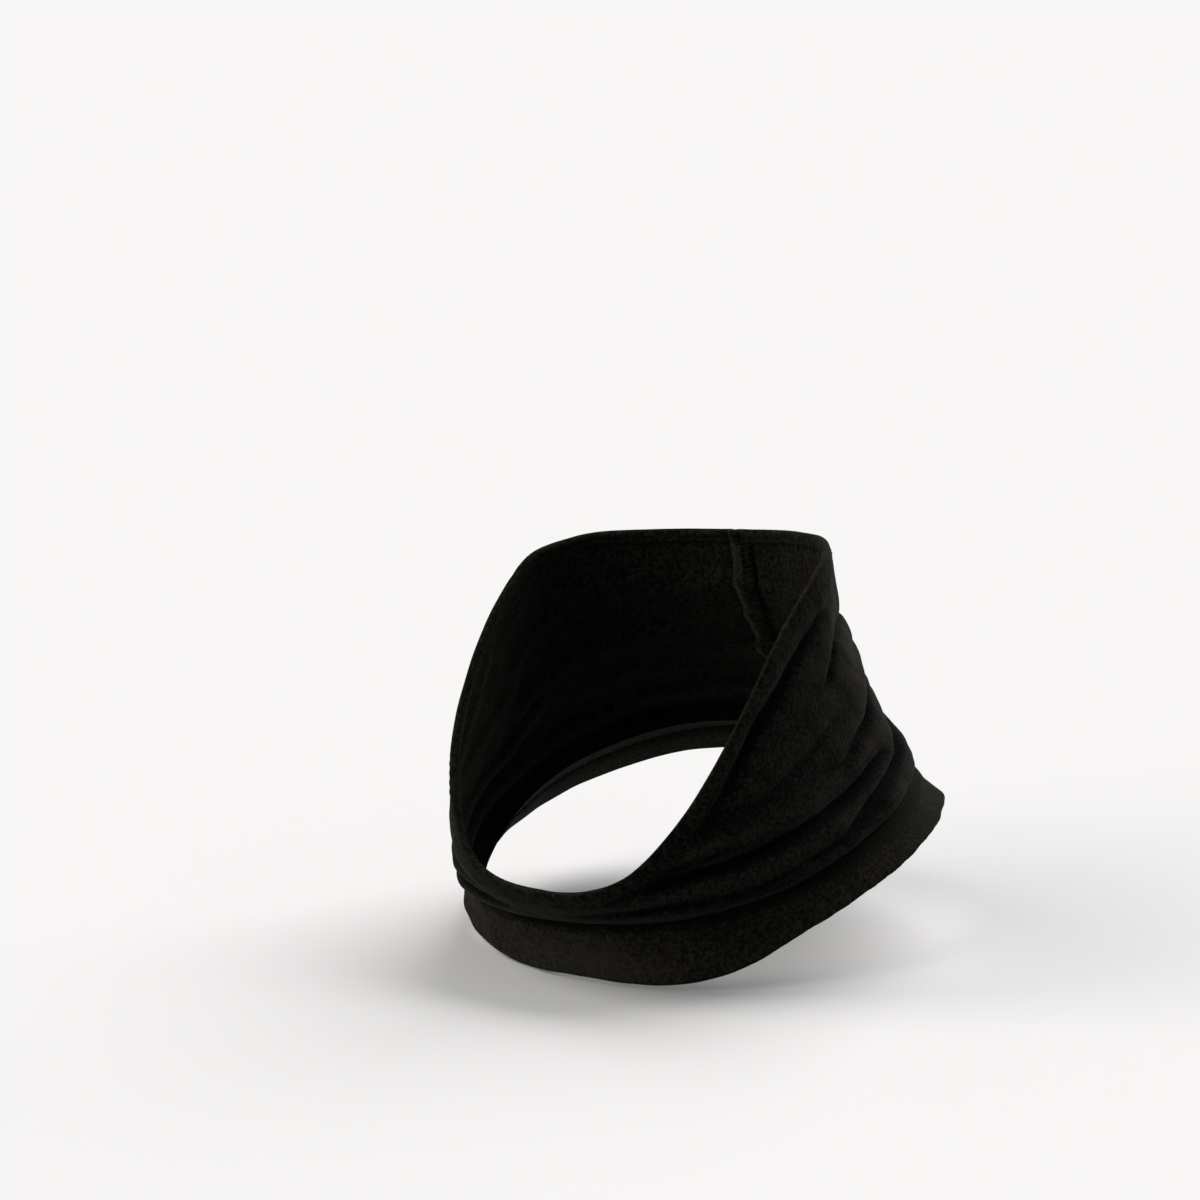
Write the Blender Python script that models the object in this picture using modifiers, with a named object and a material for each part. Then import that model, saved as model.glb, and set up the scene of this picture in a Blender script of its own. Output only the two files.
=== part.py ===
"""A neck warmer: a short tube of soft fleece, modelled in the shape it takes when it is worn.

One rectangle of cloth is closed into a tube by a seam down the centre of the back. Its lower
edge is turned in as a broad hem and its upper edge as a narrow one. Worn, the tube leans
forward, hangs low at the front and stands high behind, and its slack sinks into soft rolls
that lie close together under the chin and open out towards the back.

The front faces -Y, the wearer's left is +X and +Z is up. The origin is the centre of the
lower opening, on the line of the neck. Sizes are in millimetres and angles in degrees,
measured round the neck from the centre front, positive towards the wearer's left.
"""

import math
from collections import namedtuple

import bmesh
import bpy

MM = 0.001

# ---- Cloth -------------------------------------------------------------------------------
CLOTH_THICKNESS = 2.0
LOWER_HEM_THICKNESS = 3.6
UPPER_HEM_THICKNESS = 2.6
UPPER_HEM_WIDTH = 4.0
LOWER_EDGE_ROUNDING = 1.3
LOWER_EDGE_REACH = 3.0
UPPER_EDGE_ROUNDING = 0.7
UPPER_EDGE_REACH = 2.5
SEAM_GAP = 0.4

# ---- Mesh fineness -----------------------------------------------------------------------
STEPS_ROUND = 80
ROWS_LOWER_HEM = 7
ROWS_TUBE = 30
ROWS_UPPER_HEM = 2
ROW_CROWDING = 1.25

# ---- Heights of the edges, one row for each station round the neck --------------------------
# hem: the lowest edge; crease: where the lower hem ends and the tube folds over it;
# top: the upper edge.
Edge = namedtuple("Edge", "angle hem crease top")
EDGES = (
    Edge(-150, 27, 39, 109),
    Edge(-120, 19, 31, 107),
    Edge(-90, 8, 19, 98),
    Edge(-60, -4, 5, 64),
    Edge(-30, -12, 2.5, 27),
    Edge(0, -12, 4, 19),
    Edge(30, -10, 7.5, 27),
    Edge(60, 6, 17, 73),
    Edge(90, 22, 28, 107),
    Edge(120, 28, 38, 115),
    Edge(150, 30, 41, 114),
    Edge(180, 30, 42, 111),
)

# ---- Cross-sections, one row for each level ----------------------------------------------
# level: 0 at the lowest edge, 1 at the crease, 2 at the upper edge; centre: how far the
# section's centre lies behind the origin; square: 2 is an ellipse, more fills its front corners.
Section = namedtuple("Section", "level centre half_width front_depth back_depth square")
SECTIONS = (
    Section(0.0, 0, 77, 73, 76, 2.0),
    Section(0.5, -2, 72, 72, 71, 2.0),
    Section(1.0, -5, 69, 72, 69, 2.2),
    Section(1.2, -10, 65, 71, 60, 2.5),
    Section(1.4, -15, 61, 70, 54, 2.6),
    Section(1.65, -21, 57.5, 69, 47, 2.6),
    Section(2.0, -26, 55, 68, 46, 2.5),
)

# ---- Creases, one row for each ------------------------------------------------------------
# route: (angle, height) along the crease; depth: how far it sinks; above, below: how far its
# sides reach; swell: how far the roll above it stands out.
Crease = namedtuple("Crease", "name route depth above below swell")
CREASES = (
    Crease("second", ((8, 11), (28, 13), (57, 21), (80, 35), (105, 52), (135, 60), (160, 62)),
           3.8, 2.6, 3.4, 1.2),
    Crease("third", ((22, 18), (41, 22), (60, 30), (80, 42), (98, 54)), 3.6, 2.6, 3.6, 0.8),
    Crease("fourth", ((24, 21), (36, 26), (50, 33)), 1.6, 2.4, 3.0, 0.3),
    Crease("nape left", ((84, 54), (93, 60), (106, 68), (125, 74), (150, 78)), 3.4, 2.8, 4.2, 1.6),
    Crease("ear left", ((90, 78), (100, 89), (115, 92), (140, 95)), 3.0, 2.8, 4.2, 0.4),
    Crease("jaw left", ((50, 49), (63, 65), (78, 82)), 2.2, 4.0, 5.0, 0.0),
    Crease("second right", ((-168, 53), (-138, 47), (-106, 35), (-80, 25), (-52, 12), (-18, 10)),
           3.6, 2.2, 3.2, 1.0),
    Crease("third right", ((-104, 52), (-84, 37), (-62, 26), (-40, 17), (-26, 15)), 3.0, 2.0, 3.4, 0.6),
    Crease("nape right", ((-160, 74), (-132, 69), (-108, 61), (-90, 50)), 3.2, 2.6, 4.5, 1.4),
    Crease("ear right", ((-146, 92), (-120, 86), (-98, 74), (-86, 64)), 2.4, 2.6, 4.5, 0.4),
    Crease("jaw right", ((-74, 68), (-60, 50), (-48, 36)), 2.0, 4.0, 5.0, 0.0),
    Crease("back low", ((150, 68), (176, 70), (200, 66)), 2.6, 2.6, 4.5, 0.8),
    Crease("back high", ((158, 90), (182, 93), (206, 88)), 2.0, 3.0, 5.0, 0.5),
)
CREASE_MAIN = Crease("main", (), 3.8, 2.4, 4.0, 1.4)
CREASE_FADE = 17.0
MIDDLE_LEVEL = 1.5
SMOOTH_BELOW_TOP = 9.0
LOWER_HEM_SWELL = 0.9


def smooth_value(points, x, period=None):
    """The value at x on a smooth curve through (x, value) points, closed over a period."""
    if period:
        x = points[0][0] + (x - points[0][0]) % period
        last = points[-1]
        first = points[0]
        points = (
            [(last[0] - period, last[1])]
            + list(points)
            + [(first[0] + period, first[1]), (points[1][0] + period, points[1][1])]
        )
    spans = list(zip(points, points[1:]))
    if x <= points[0][0]:
        return points[0][1]
    if x >= points[-1][0]:
        return points[-1][1]
    index = next(i for i, (low, high) in enumerate(spans) if low[0] <= x <= high[0])
    low, high = spans[index]
    width = high[0] - low[0]
    slopes = [(b[1] - a[1]) / (b[0] - a[0]) for a, b in spans]
    slope_low = slopes[index] if index == 0 else (slopes[index - 1] + slopes[index]) / 2
    slope_high = slopes[index] if index == len(spans) - 1 else (slopes[index] + slopes[index + 1]) / 2
    t = (x - low[0]) / width
    return (
        (2 * t**3 - 3 * t**2 + 1) * low[1]
        + (t**3 - 2 * t**2 + t) * width * slope_low
        + (3 * t**2 - 2 * t**3) * high[1]
        + (t**3 - t**2) * width * slope_high
    )


def edge_height(name, angle):
    """The height of the named edge at an angle round the neck."""
    return smooth_value([(row.angle, getattr(row, name)) for row in EDGES], angle, 360)


def section_value(name, level):
    """A size of the cross-section at a level."""
    return smooth_value([(row.level, getattr(row, name)) for row in SECTIONS], level)


def height_at(angle, level):
    """The height of the cloth at an angle and a level."""
    hem = edge_height("hem", angle)
    crease = edge_height("crease", angle)
    if level <= 1:
        return hem + (crease - hem) * level
    return crease + (edge_height("top", angle) - crease) * (level - 1)


def section_point(angle, level):
    """The unfolded cloth's place in plan, and its outward direction there."""
    side = math.sin(math.radians(angle))
    ahead = math.cos(math.radians(angle))
    square = section_value("square", level) if ahead > 0 else 2
    fill = (abs(side) ** square + abs(ahead) ** square) ** (-1 / square)
    half_width = section_value("half_width", level)
    depth = section_value("front_depth" if ahead > 0 else "back_depth", level)
    centre = section_value("centre", level)
    outward = (side / half_width, -ahead / depth)
    length = math.hypot(*outward)
    return half_width * fill * side, centre - depth * fill * ahead, outward[0] / length, outward[1] / length


def mm_each_degree(level):
    """About how far one degree reaches round the neck at a level."""
    return math.radians(section_value("half_width", level))


def fade(value, start, end):
    """A smooth rise from 0 at start to 1 at end."""
    t = min(max((value - start) / (end - start), 0), 1)
    return t * t * (3 - 2 * t)


def crease_shape(distance, depth, above, below, swell):
    """How far a crease moves the cloth outward, at a distance above its line."""
    if distance < 0:
        return -depth * math.exp(-((distance / below) ** 2))
    x = distance / (2 * above)
    return -depth * math.exp(-((distance / above) ** 2)) + swell * x * x * math.exp(1 - x * x)


def crease_offset(crease, angle, height):
    """How far one crease moves the cloth outward at an angle and a height."""
    start = crease.route[0][0]
    end = crease.route[-1][0]
    if angle < (start + end) / 2 - 180:
        angle += 360
    if not start - CREASE_FADE < angle < end + CREASE_FADE:
        return 0.0
    strength = fade(angle, start - CREASE_FADE, start + CREASE_FADE)
    strength *= 1 - fade(angle, end - CREASE_FADE, end + CREASE_FADE)
    line = smooth_value(crease.route, angle)
    rise = smooth_value(crease.route, angle + 1) - smooth_value(crease.route, angle - 1)
    slope = rise / (2 * mm_each_degree(MIDDLE_LEVEL))
    distance = (height - line) / math.hypot(1, slope)
    return strength * crease_shape(distance, crease.depth, crease.above, crease.below, crease.swell)


def edge_rounding(distance, reach, rounding):
    """How far the cloth turns inward near a free edge, at a distance from that edge."""
    return -rounding * max(0, 1 - distance / reach) ** 2


def fold_offset(angle, level, height):
    """How far all the folds together move the cloth outward."""
    main = height - edge_height("crease", angle)
    offset = crease_shape(main, *CREASE_MAIN[2:])
    if level < 1:
        offset += LOWER_HEM_SWELL * math.sin(math.pi * level)
    below_top = edge_height("top", angle) - height
    offset += edge_rounding(below_top, UPPER_EDGE_REACH, UPPER_EDGE_ROUNDING)
    offset += edge_rounding(
        height - edge_height("hem", angle), LOWER_EDGE_REACH, LOWER_EDGE_ROUNDING
    )
    calm = fade(below_top, 0, SMOOTH_BELOW_TOP)
    for crease in CREASES:
        offset += calm * crease_offset(crease, angle, height)
    return offset


def cloth_point(angle, level):
    """A point on the outer face of the cloth, in metres."""
    x, y, out_x, out_y = section_point(angle, level)
    height = height_at(angle, level)
    offset = fold_offset(angle, level, height)
    return (x + out_x * offset) * MM, (y + out_y * offset) * MM, height * MM


def make_wall(name, bottom, top, rows, thickness, material, collection):
    """A ring of cloth between two levels, each a function of the angle."""
    mesh_data = bmesh.new()
    grid = []
    for row in range(rows + 1):
        share = (row / rows) ** ROW_CROWDING
        ring = []
        for step in range(STEPS_ROUND):
            angle = -180 + step * 360 / STEPS_ROUND
            level = bottom(angle) + (top(angle) - bottom(angle)) * share
            ring.append(mesh_data.verts.new(cloth_point(angle, level)))
        grid.append(ring)
    for low, high in zip(grid, grid[1:]):
        for step in range(STEPS_ROUND):
            after = (step + 1) % STEPS_ROUND
            mesh_data.faces.new((low[step], low[after], high[after], high[step]))
    mesh = bpy.data.meshes.new(name)
    mesh_data.to_mesh(mesh)
    mesh_data.free()
    mesh.shade_smooth()
    mesh.materials.append(material)
    wall = bpy.data.objects.new(name, mesh)
    collection.objects.link(wall)
    solidify = wall.modifiers.new("cloth thickness", "SOLIDIFY")
    solidify.thickness = thickness * MM
    solidify.offset = -1.0
    return wall


def make_material(name, colour, roughness):
    """A plain cloth colour."""
    material = bpy.data.materials.new(name)
    material.use_nodes = True
    shader = material.node_tree.nodes["Principled BSDF"]
    shader.inputs["Base Color"].default_value = (*colour, 1.0)
    shader.inputs["Roughness"].default_value = roughness
    shader.inputs["Metallic"].default_value = 0.0
    return material


def remove_everything():
    """Start from an empty scene."""
    for thing in list(bpy.data.objects):
        bpy.data.objects.remove(thing, do_unlink=True)


def level_for_drop(angle, drop):
    """The level that lies a distance below the upper edge, square to that edge."""
    span = edge_height("top", angle) - edge_height("crease", angle)
    rise = edge_height("top", angle + 1) - edge_height("top", angle - 1)
    slope = rise / (2 * mm_each_degree(2))
    return 2 - drop * math.hypot(1, slope) / span


def level_below_crease(angle):
    """The level half a seam's gap below the main crease."""
    span = edge_height("crease", angle) - edge_height("hem", angle)
    return 1 - SEAM_GAP / 2 / span


def level_above_crease(angle):
    """The level half a seam's gap above the main crease."""
    span = edge_height("top", angle) - edge_height("crease", angle)
    return 1 + SEAM_GAP / 2 / span


def build():
    """The whole neck warmer."""
    remove_everything()
    collection = bpy.data.collections.new("neck_warmer")
    bpy.context.scene.collection.children.link(collection)
    fleece = make_material("fleece", (0.010, 0.009, 0.008), 0.95)
    hem_fleece = make_material("hem fleece", (0.013, 0.012, 0.010), 0.92)
    edge_fleece = make_material("edge fleece", (0.016, 0.014, 0.012), 0.90)
    make_wall(
        "lower_hem",
        lambda angle: 0.0,
        level_below_crease,
        ROWS_LOWER_HEM,
        LOWER_HEM_THICKNESS,
        hem_fleece,
        collection,
    )
    make_wall(
        "tube",
        level_above_crease,
        lambda angle: level_for_drop(angle, UPPER_HEM_WIDTH + SEAM_GAP),
        ROWS_TUBE,
        CLOTH_THICKNESS,
        fleece,
        collection,
    )
    make_wall(
        "upper_hem",
        lambda angle: level_for_drop(angle, UPPER_HEM_WIDTH),
        lambda angle: 2.0,
        ROWS_UPPER_HEM,
        UPPER_HEM_THICKNESS,
        edge_fleece,
        collection,
    )


build()
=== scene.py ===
import math
from collections import namedtuple

import bpy
import numpy as np
from mathutils import Matrix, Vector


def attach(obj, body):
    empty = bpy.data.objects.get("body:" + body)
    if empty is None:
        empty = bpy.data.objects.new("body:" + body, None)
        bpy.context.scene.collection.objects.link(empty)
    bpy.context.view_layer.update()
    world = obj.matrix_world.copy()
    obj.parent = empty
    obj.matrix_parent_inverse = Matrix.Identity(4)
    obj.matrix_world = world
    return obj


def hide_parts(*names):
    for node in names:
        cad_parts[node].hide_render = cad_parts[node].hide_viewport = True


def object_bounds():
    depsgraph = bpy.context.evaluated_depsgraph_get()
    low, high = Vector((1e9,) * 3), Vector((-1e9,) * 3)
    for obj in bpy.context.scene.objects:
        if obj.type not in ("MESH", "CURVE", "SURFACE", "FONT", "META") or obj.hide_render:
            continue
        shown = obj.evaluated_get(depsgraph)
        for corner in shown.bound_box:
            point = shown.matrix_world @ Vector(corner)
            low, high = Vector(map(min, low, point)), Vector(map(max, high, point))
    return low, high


# The looks of a worn neck warmer: fine cloth shells in place of its three solids, its sewing, its
# fleece, and the light and camera.
#
# Sizes are in millimetres and angles in degrees round the neck, from the centre front, positive
# towards the wearer's left, as in the solids' own source. MM turns them into the frame's metres.

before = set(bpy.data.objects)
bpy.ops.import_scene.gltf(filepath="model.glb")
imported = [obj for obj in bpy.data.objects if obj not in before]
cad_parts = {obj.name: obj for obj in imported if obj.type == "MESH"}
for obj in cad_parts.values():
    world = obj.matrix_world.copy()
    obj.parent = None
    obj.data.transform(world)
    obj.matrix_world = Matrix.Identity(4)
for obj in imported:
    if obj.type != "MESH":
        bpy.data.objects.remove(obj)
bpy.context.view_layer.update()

MM = 0.001
MM_EACH_CM = 10.0

# ---- Cloth -------------------------------------------------------------------------------
CLOTH_ROUND = 490.0
CLOTH_THICKNESS = 1.9
LOWER_HEM_THICKNESS = 3.6
UPPER_HEM_THICKNESS = 2.6
UPPER_HEM_WIDTH = 4.0
# The upper edge turns inward a little, and the seam under the upper hem draws the cloth in.
UPPER_EDGE_ROUNDING = 0.7
UPPER_EDGE_REACH = 2.5
SEAM_DIP = 0.15
SEAM_DIP_REACH = 0.9
# The fold of the lower hem hangs a little below the hem's height in EDGES.
HEM_FOLD_LEVEL = -0.07

# ---- Mesh fineness -----------------------------------------------------------------------
# Columns stand STEP_ROUND degrees apart, and closer within BACK_SEAM_ZONE degrees of the seam.
STEP_ROUND = 1.25
STEP_AT_BACK_SEAM = 0.25
BACK_SEAM_ZONE = 5.0
ROWS_TUBE = 140
ROWS_LOWER_HEM = 44
ROWS_UPPER_HEM = 10
# Rows stand closer together at the tube's lower end and at the free edges of the hems.
ROW_CROWDING = 1.15
EDGE_CROWDING = 1.8
# The inner face of the tube is evened out this many times.
INNER_RELAXING = 6
# The steps between the points from which the cloth's outward direction is worked out.
ANGLE_STEP = 0.3
LEVEL_STEP = 0.004

# ---- Heights of the edges, one row for each station round the neck --------------------------
# hem: the lowest edge; crease: where the lower hem ends and the tube folds over it;
# top: the upper edge.
Edge = namedtuple("Edge", "angle hem crease top")
EDGES = (
    Edge(-150, 27, 39, 109),
    Edge(-120, 19, 31, 107),
    Edge(-90, 8, 19, 98),
    Edge(-60, -4, 5, 64),
    Edge(-30, -12, 2.5, 27),
    Edge(0, -12, 4, 19),
    Edge(30, -10, 8.3, 26),
    Edge(45, -3.5, 12.2, 43),
    Edge(60, 6, 17, 67.5),
    Edge(75, 14.7, 22.6, 92),
    Edge(90, 21.5, 28, 107),
    Edge(120, 27, 35.3, 115),
    Edge(150, 25, 37.5, 114),
    Edge(180, 26.5, 40, 111),
)

# ---- Cross-sections, one row for each level ----------------------------------------------
# level: 0 at the lowest edge, 1 at the crease, 2 at the upper edge; centre: how far the
# section's centre lies behind the origin; square: 2 is an ellipse, more fills its front corners.
Section = namedtuple("Section", "level centre half_width front_depth back_depth square")
SECTIONS = (
    Section(0.0, 0, 77, 73, 76, 2.0),
    Section(0.5, -2, 72, 72, 71, 2.0),
    Section(1.0, -5, 69, 72, 69, 2.2),
    Section(1.2, -10, 65, 71, 60, 2.5),
    Section(1.4, -15, 61, 70, 54, 2.6),
    Section(1.65, -21, 58, 69, 47.6, 2.6),
    Section(2.0, -26, 54, 68, 44.6, 2.5),
)
TUBE_MIDDLE = 1.5

# ---- Creases, one row for each ------------------------------------------------------------
# route: (angle, height) along the crease; depth: how far it sinks; above, below: how far its
# sides reach; swell: how far the roll above it stands out; droop: how far that roll hangs
# down over the crease.
Crease = namedtuple("Crease", "name route depth above below swell droop")
CREASES = (
    Crease("second", ((78, 31), (88, 36.5), (104, 43.5), (116, 50.5), (126, 57.5), (146, 57), (166, 52)),
           4.4, 2.2, 1.3, 1.0, 0.4),
    Crease("second, front", ((8, 11), (26, 14), (47, 19), (71, 27.5), (92, 35)),
           2.6, 1.8, 1.8, 0.8, 0.2),
    Crease("third", ((26, 20), (43, 26), (55, 30), (66, 34.5), (80, 40), (94, 46.5), (108, 52)),
           4.0, 2.2, 2.2, 0.9, 0.2),
    Crease("fourth", ((18, 17), (30, 21.5), (38, 27), (52, 34)), 2.4, 1.6, 1.8, 0.2, 0.1),
    Crease("nape left", ((84, 50), (94, 56), (103, 60), (112, 66), (125, 73), (140, 73), (158, 69)),
           3.6, 2.4, 2.4, 0.9, 0.3),
    Crease("ear left", ((88, 76), (100, 88), (115, 92), (134, 92), (150, 88)), 3.0, 3.6, 3.0, 0.1, 0.2),
    Crease("jaw left", ((49, 41), (58, 56), (65, 67), (72, 76), (80, 86), (90, 96)),
           3.2, 2.2, 3.4, 0.3, 0.1),
    Crease("second right", ((-168, 53), (-138, 47), (-106, 35), (-80, 25), (-52, 12), (-18, 10)),
           3.6, 2.2, 2.4, 1.0, 0.4),
    Crease("third right", ((-104, 52), (-84, 37), (-62, 26), (-40, 17), (-26, 15)),
           3.2, 2.0, 2.2, 0.6, 0.3),
    Crease("nape right", ((-160, 74), (-132, 69), (-108, 61), (-90, 50)), 3.2, 2.4, 2.8, 0.8, 0.3),
    Crease("ear right", ((-146, 92), (-120, 86), (-98, 74), (-86, 64)), 2.4, 2.6, 3.0, 0.2, 0.2),
    Crease("jaw right", ((-76, 72), (-60, 50), (-48, 36)), 2.6, 2.2, 3.0, 0.3, 0.1),
    Crease("back low", ((150, 68), (176, 70), (200, 66)), 2.8, 2.4, 3.0, 0.7, 0.3),
    Crease("back high", ((158, 90), (182, 93), (206, 88)), 2.2, 2.6, 3.2, 0.4, 0.2),
)
# The lowest crease of all follows the crease heights in EDGES, where the tube folds over its hem.
CREASE_MAIN = Crease("main", (), 3.2, 2.2, 1.6, 1.2, 0.4)

# The profile of a crease: its bottom is rounded, its upper side tucks in over TUCK times the reach
# above, its lower side is a ledge of LEDGE times the reach below, and a narrow groove takes
# GROOVE_SHARE of its depth. The roll stands out furthest at ROLL_CREST times the reach above.
CREASE_BOTTOM = 0.6
TUCK = 1.7
LEDGE = 0.8
GROOVE_SHARE = 0.4
GROOVE_REACH = 1.1
ROLL_CREST = 2.0
# Where creases meet, their depths add up by this power, so the deeper one leads.
BLEND_POWER = 2.5
# Creases fade out over these degrees round the neck at both ends, and towards the upper edge
# between these two distances below it.
CREASE_FADE = 17.0
FINE_FADE = 11.0
CREASE_FREE_EDGE = 3.0
SMOOTH_BELOW_TOP = 9.5
# The tube stands out above its lowest crease, and the lower hem is a little full.
PLUMPNESS = 1.0
PLUMPNESS_REACH = 6.0
LOWER_HEM_SWELL = 0.3

# Painted shade and painted highlight of the relief: a dark line painted just below a crease, where shade
# falls, and a painted highlight on the crest of the roll above it. The crest's place and width are shares
# of the crease's reach above.
PAINTED_HOLLOW_SHADE_REACH = 1.5
PAINTED_HOLLOW_SHADE_SHIFT = 0.5
PAINTED_CREST_HIGHLIGHT_SHARE = 0.6
PAINTED_CREST_HIGHLIGHT_PLACE = 2.2
PAINTED_CREST_HIGHLIGHT_WIDTH = 1.3

# Small wrinkles between the main creases, too fine for the solids.
FINE_CREASES = (
    Crease("left one", ((58, 44), (72, 54), (86, 64)), 1.0, 1.6, 2.0, 0.3, 0.2),
    Crease("left two", ((80, 45), (92, 50), (104, 54)), 0.9, 1.4, 1.8, 0.3, 0.1),
    Crease("left three", ((40, 14), (56, 20), (70, 24)), 0.9, 1.0, 1.2, 0.2, 0.1),
    Crease("left four", ((76, 88), (90, 97), (108, 103)), 0.8, 2.0, 2.4, 0.2, 0.1),
    Crease("left five", ((126, 66), (140, 67), (156, 64)), 0.9, 1.8, 2.4, 0.4, 0.2),
    Crease("left six", ((116, 82), (132, 85), (150, 83)), 0.8, 2.0, 2.4, 0.3, 0.2),
    Crease("left seven", ((38, 28), (48, 38), (58, 47)), 1.2, 1.6, 2.0, 0.2, 0.1),
    Crease("left eight", ((46, 31), (58, 36), (72, 43)), 0.8, 1.4, 1.8, 0.2, 0.1),
    Crease("left nine", ((98, 84), (104, 78), (110, 74)), 1.0, 1.8, 2.2, 0.2, 0.1),
    Crease("left ten", ((26, 10), (42, 15.5), (54, 19), (64, 22)), 0.8, 0.9, 1.1, 0.2, 0.1),
    Crease("right one", ((-90, 60), (-74, 47), (-60, 36)), 0.9, 1.8, 2.2, 0.3, 0.2),
    Crease("right two", ((-110, 45), (-90, 33), (-70, 22)), 0.8, 1.4, 1.8, 0.3, 0.2),
    Crease("right three", ((-64, 20), (-46, 13), (-28, 11)), 0.8, 1.0, 1.2, 0.2, 0.1),
    Crease("right four", ((-116, 99), (-98, 91), (-84, 80)), 0.8, 2.0, 2.4, 0.2, 0.1),
    Crease("right five", ((-150, 60), (-132, 57), (-114, 50)), 0.9, 1.8, 2.2, 0.4, 0.2),
    Crease("back one", ((162, 52), (180, 55), (198, 52)), 0.9, 1.8, 2.2, 0.4, 0.2),
    Crease("back two", ((166, 80), (184, 82), (204, 78)), 0.8, 2.0, 2.4, 0.3, 0.2),
    Crease("back three", ((146, 101), (166, 101), (184, 100)), 0.7, 2.0, 2.4, 0.2, 0.1),
)

# Gentle unevenness of the cloth, as waves. size: how far they stand out; round: how many go round
# the neck; up: how far they turn with each millimetre of height; start: their turn at the origin.
# Turns are in radians.
Wave = namedtuple("Wave", "size round up start")
UNEVENNESS = (
    Wave(0.28, 5, 0.06, 0.4),
    Wave(0.22, 9, -0.09, 2.1),
    Wave(0.16, 14, 0.13, 4.4),
    Wave(0.12, 23, -0.21, 1.3),
    Wave(0.09, 37, 0.30, 5.2),
)
# Near the upper edge this share of it is left, and it grows from nothing over this distance from
# the lowest crease.
UNEVENNESS_AT_TOP = 0.35
UNEVENNESS_REACH = 4.0

# How the lower edge wavers up and down, and how far up the cloth that reaches.
HEM_WAVER = (
    Wave(0.35, 4, 0.0, 0.9),
    Wave(0.22, 7, 0.0, 3.3),
    Wave(0.12, 13, 0.0, 5.0),
)
HEM_WAVER_REACH = 10.0

# Patches: each fades out from its middle over its two reaches.
Patch = namedtuple("Patch", "angle angle_reach height height_reach amount")

# Rolls that stand out further, in millimetres.
BULGES = (
    Patch(124, 20, 48.5, 6, 2.6),
    Patch(-122, 22, 43, 6.5, 1.6),
    Patch(176, 22, 60, 6.5, 1.2),
)

# Patches painted lighter or darker than the fleece: painted light on the front of the lower hem, a painted
# highlight on the ridge at 106 degrees, painted shade over the tube's front and sides, and a lighter patch
# at the back.
PAINTED_LIGHT_AND_SHADE = (
    Patch(5, 17, -8, 8, 0.75),
    Patch(106, 15, 84, 13, 0.90),
    Patch(120, 26, 38, 16, -0.26),
    Patch(46, 30, 26, 18, -0.22),
    Patch(37, 17, 8, 11, -0.28),
    Patch(54, 18, 37, 9, -0.28),
    Patch(84, 20, 44, 12, -0.28),
    Patch(96, 20, 26, 9, -0.28),
    Patch(-52, 26, 30, 16, -0.15),
    Patch(180, 40, 40, 8, 0.20),
)

# The centre back seam: a groove between two low welts, drawn up a little by its thread. Its puckers
# repeat about every BACK_SEAM_PUCKER_LENGTH, shifted to and fro so that they aren't quite even.
BACK_SEAM_GROOVE = 0.7
BACK_SEAM_GROOVE_REACH = 0.8
BACK_SEAM_WELT = 0.4
BACK_SEAM_WELT_AT = 2.6
BACK_SEAM_WELT_REACH = 1.5
BACK_SEAM_PUCKER = 0.22
BACK_SEAM_PUCKER_LENGTH = 7.0
BACK_SEAM_PUCKER_REACH = 9.0
BACK_SEAM_PUCKER_SHIFT = 0.9
BACK_SEAM_PUCKER_SHIFT_RATE = 0.23


def smooth_value(points, x, period=None):
    """Values at x on a smooth curve through (x, value) points, closed over a period."""
    at = np.array([point[0] for point in points], float)
    value = np.array([point[1] for point in points], float)
    if period:
        x = at[0] + (x - at[0]) % period
        at = np.concatenate(([at[-1] - period], at, at[:2] + period))
        value = np.concatenate(([value[-1]], value, value[:2]))
    width = np.diff(at)
    slopes = np.diff(value) / width
    knot_slopes = np.concatenate(([slopes[0]], (slopes[1:] + slopes[:-1]) / 2, [slopes[-1]]))
    x = np.clip(x, at[0], at[-1])
    index = np.clip(np.searchsorted(at, x, side="right") - 1, 0, len(width) - 1)
    share = (x - at[index]) / width[index]
    return (
        (2 * share**3 - 3 * share**2 + 1) * value[index]
        + (share**3 - 2 * share**2 + share) * width[index] * knot_slopes[index]
        + (3 * share**2 - 2 * share**3) * value[index + 1]
        + (share**3 - share**2) * width[index] * knot_slopes[index + 1]
    )


def edge_height(name, angle):
    """Heights of the named edge at angles round the neck."""
    return smooth_value([(row.angle, getattr(row, name)) for row in EDGES], angle, 360)


def section_value(name, level):
    """A size of the cross-section at each level."""
    return smooth_value([(row.level, getattr(row, name)) for row in SECTIONS], level)


def height_at(angle, level):
    """The height of the cloth at an angle and a level."""
    hem = edge_height("hem", angle)
    crease = edge_height("crease", angle)
    top = edge_height("top", angle)
    return np.where(level <= 1, hem + (crease - hem) * level, crease + (top - crease) * (level - 1))


def level_at(angle, height):
    """The level that lies at an angle and a height."""
    hem = edge_height("hem", angle)
    crease = edge_height("crease", angle)
    top = edge_height("top", angle)
    return np.where(
        height <= crease, (height - hem) / (crease - hem), 1 + (height - crease) / (top - crease)
    )


def section_point(angle, level):
    """The unfolded cloth's place in plan, and its outward direction there."""
    side = np.sin(np.radians(angle))
    ahead = np.cos(np.radians(angle))
    square = np.where(ahead > 0, section_value("square", level), 2.0)
    fill = (np.abs(side) ** square + np.abs(ahead) ** square) ** (-1 / square)
    half_width = section_value("half_width", level)
    front = section_value("front_depth", level)
    depth = np.where(ahead > 0, front, section_value("back_depth", level))
    centre = section_value("centre", level)
    out_x = side / half_width
    out_y = -ahead / depth
    length = np.hypot(out_x, out_y)
    return half_width * fill * side, centre - depth * fill * ahead, out_x / length, out_y / length


def fade(value, start, end):
    """A smooth rise from 0 at start to 1 at end."""
    share = np.clip((value - start) / (end - start), 0, 1)
    return share * share * (3 - 2 * share)


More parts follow.
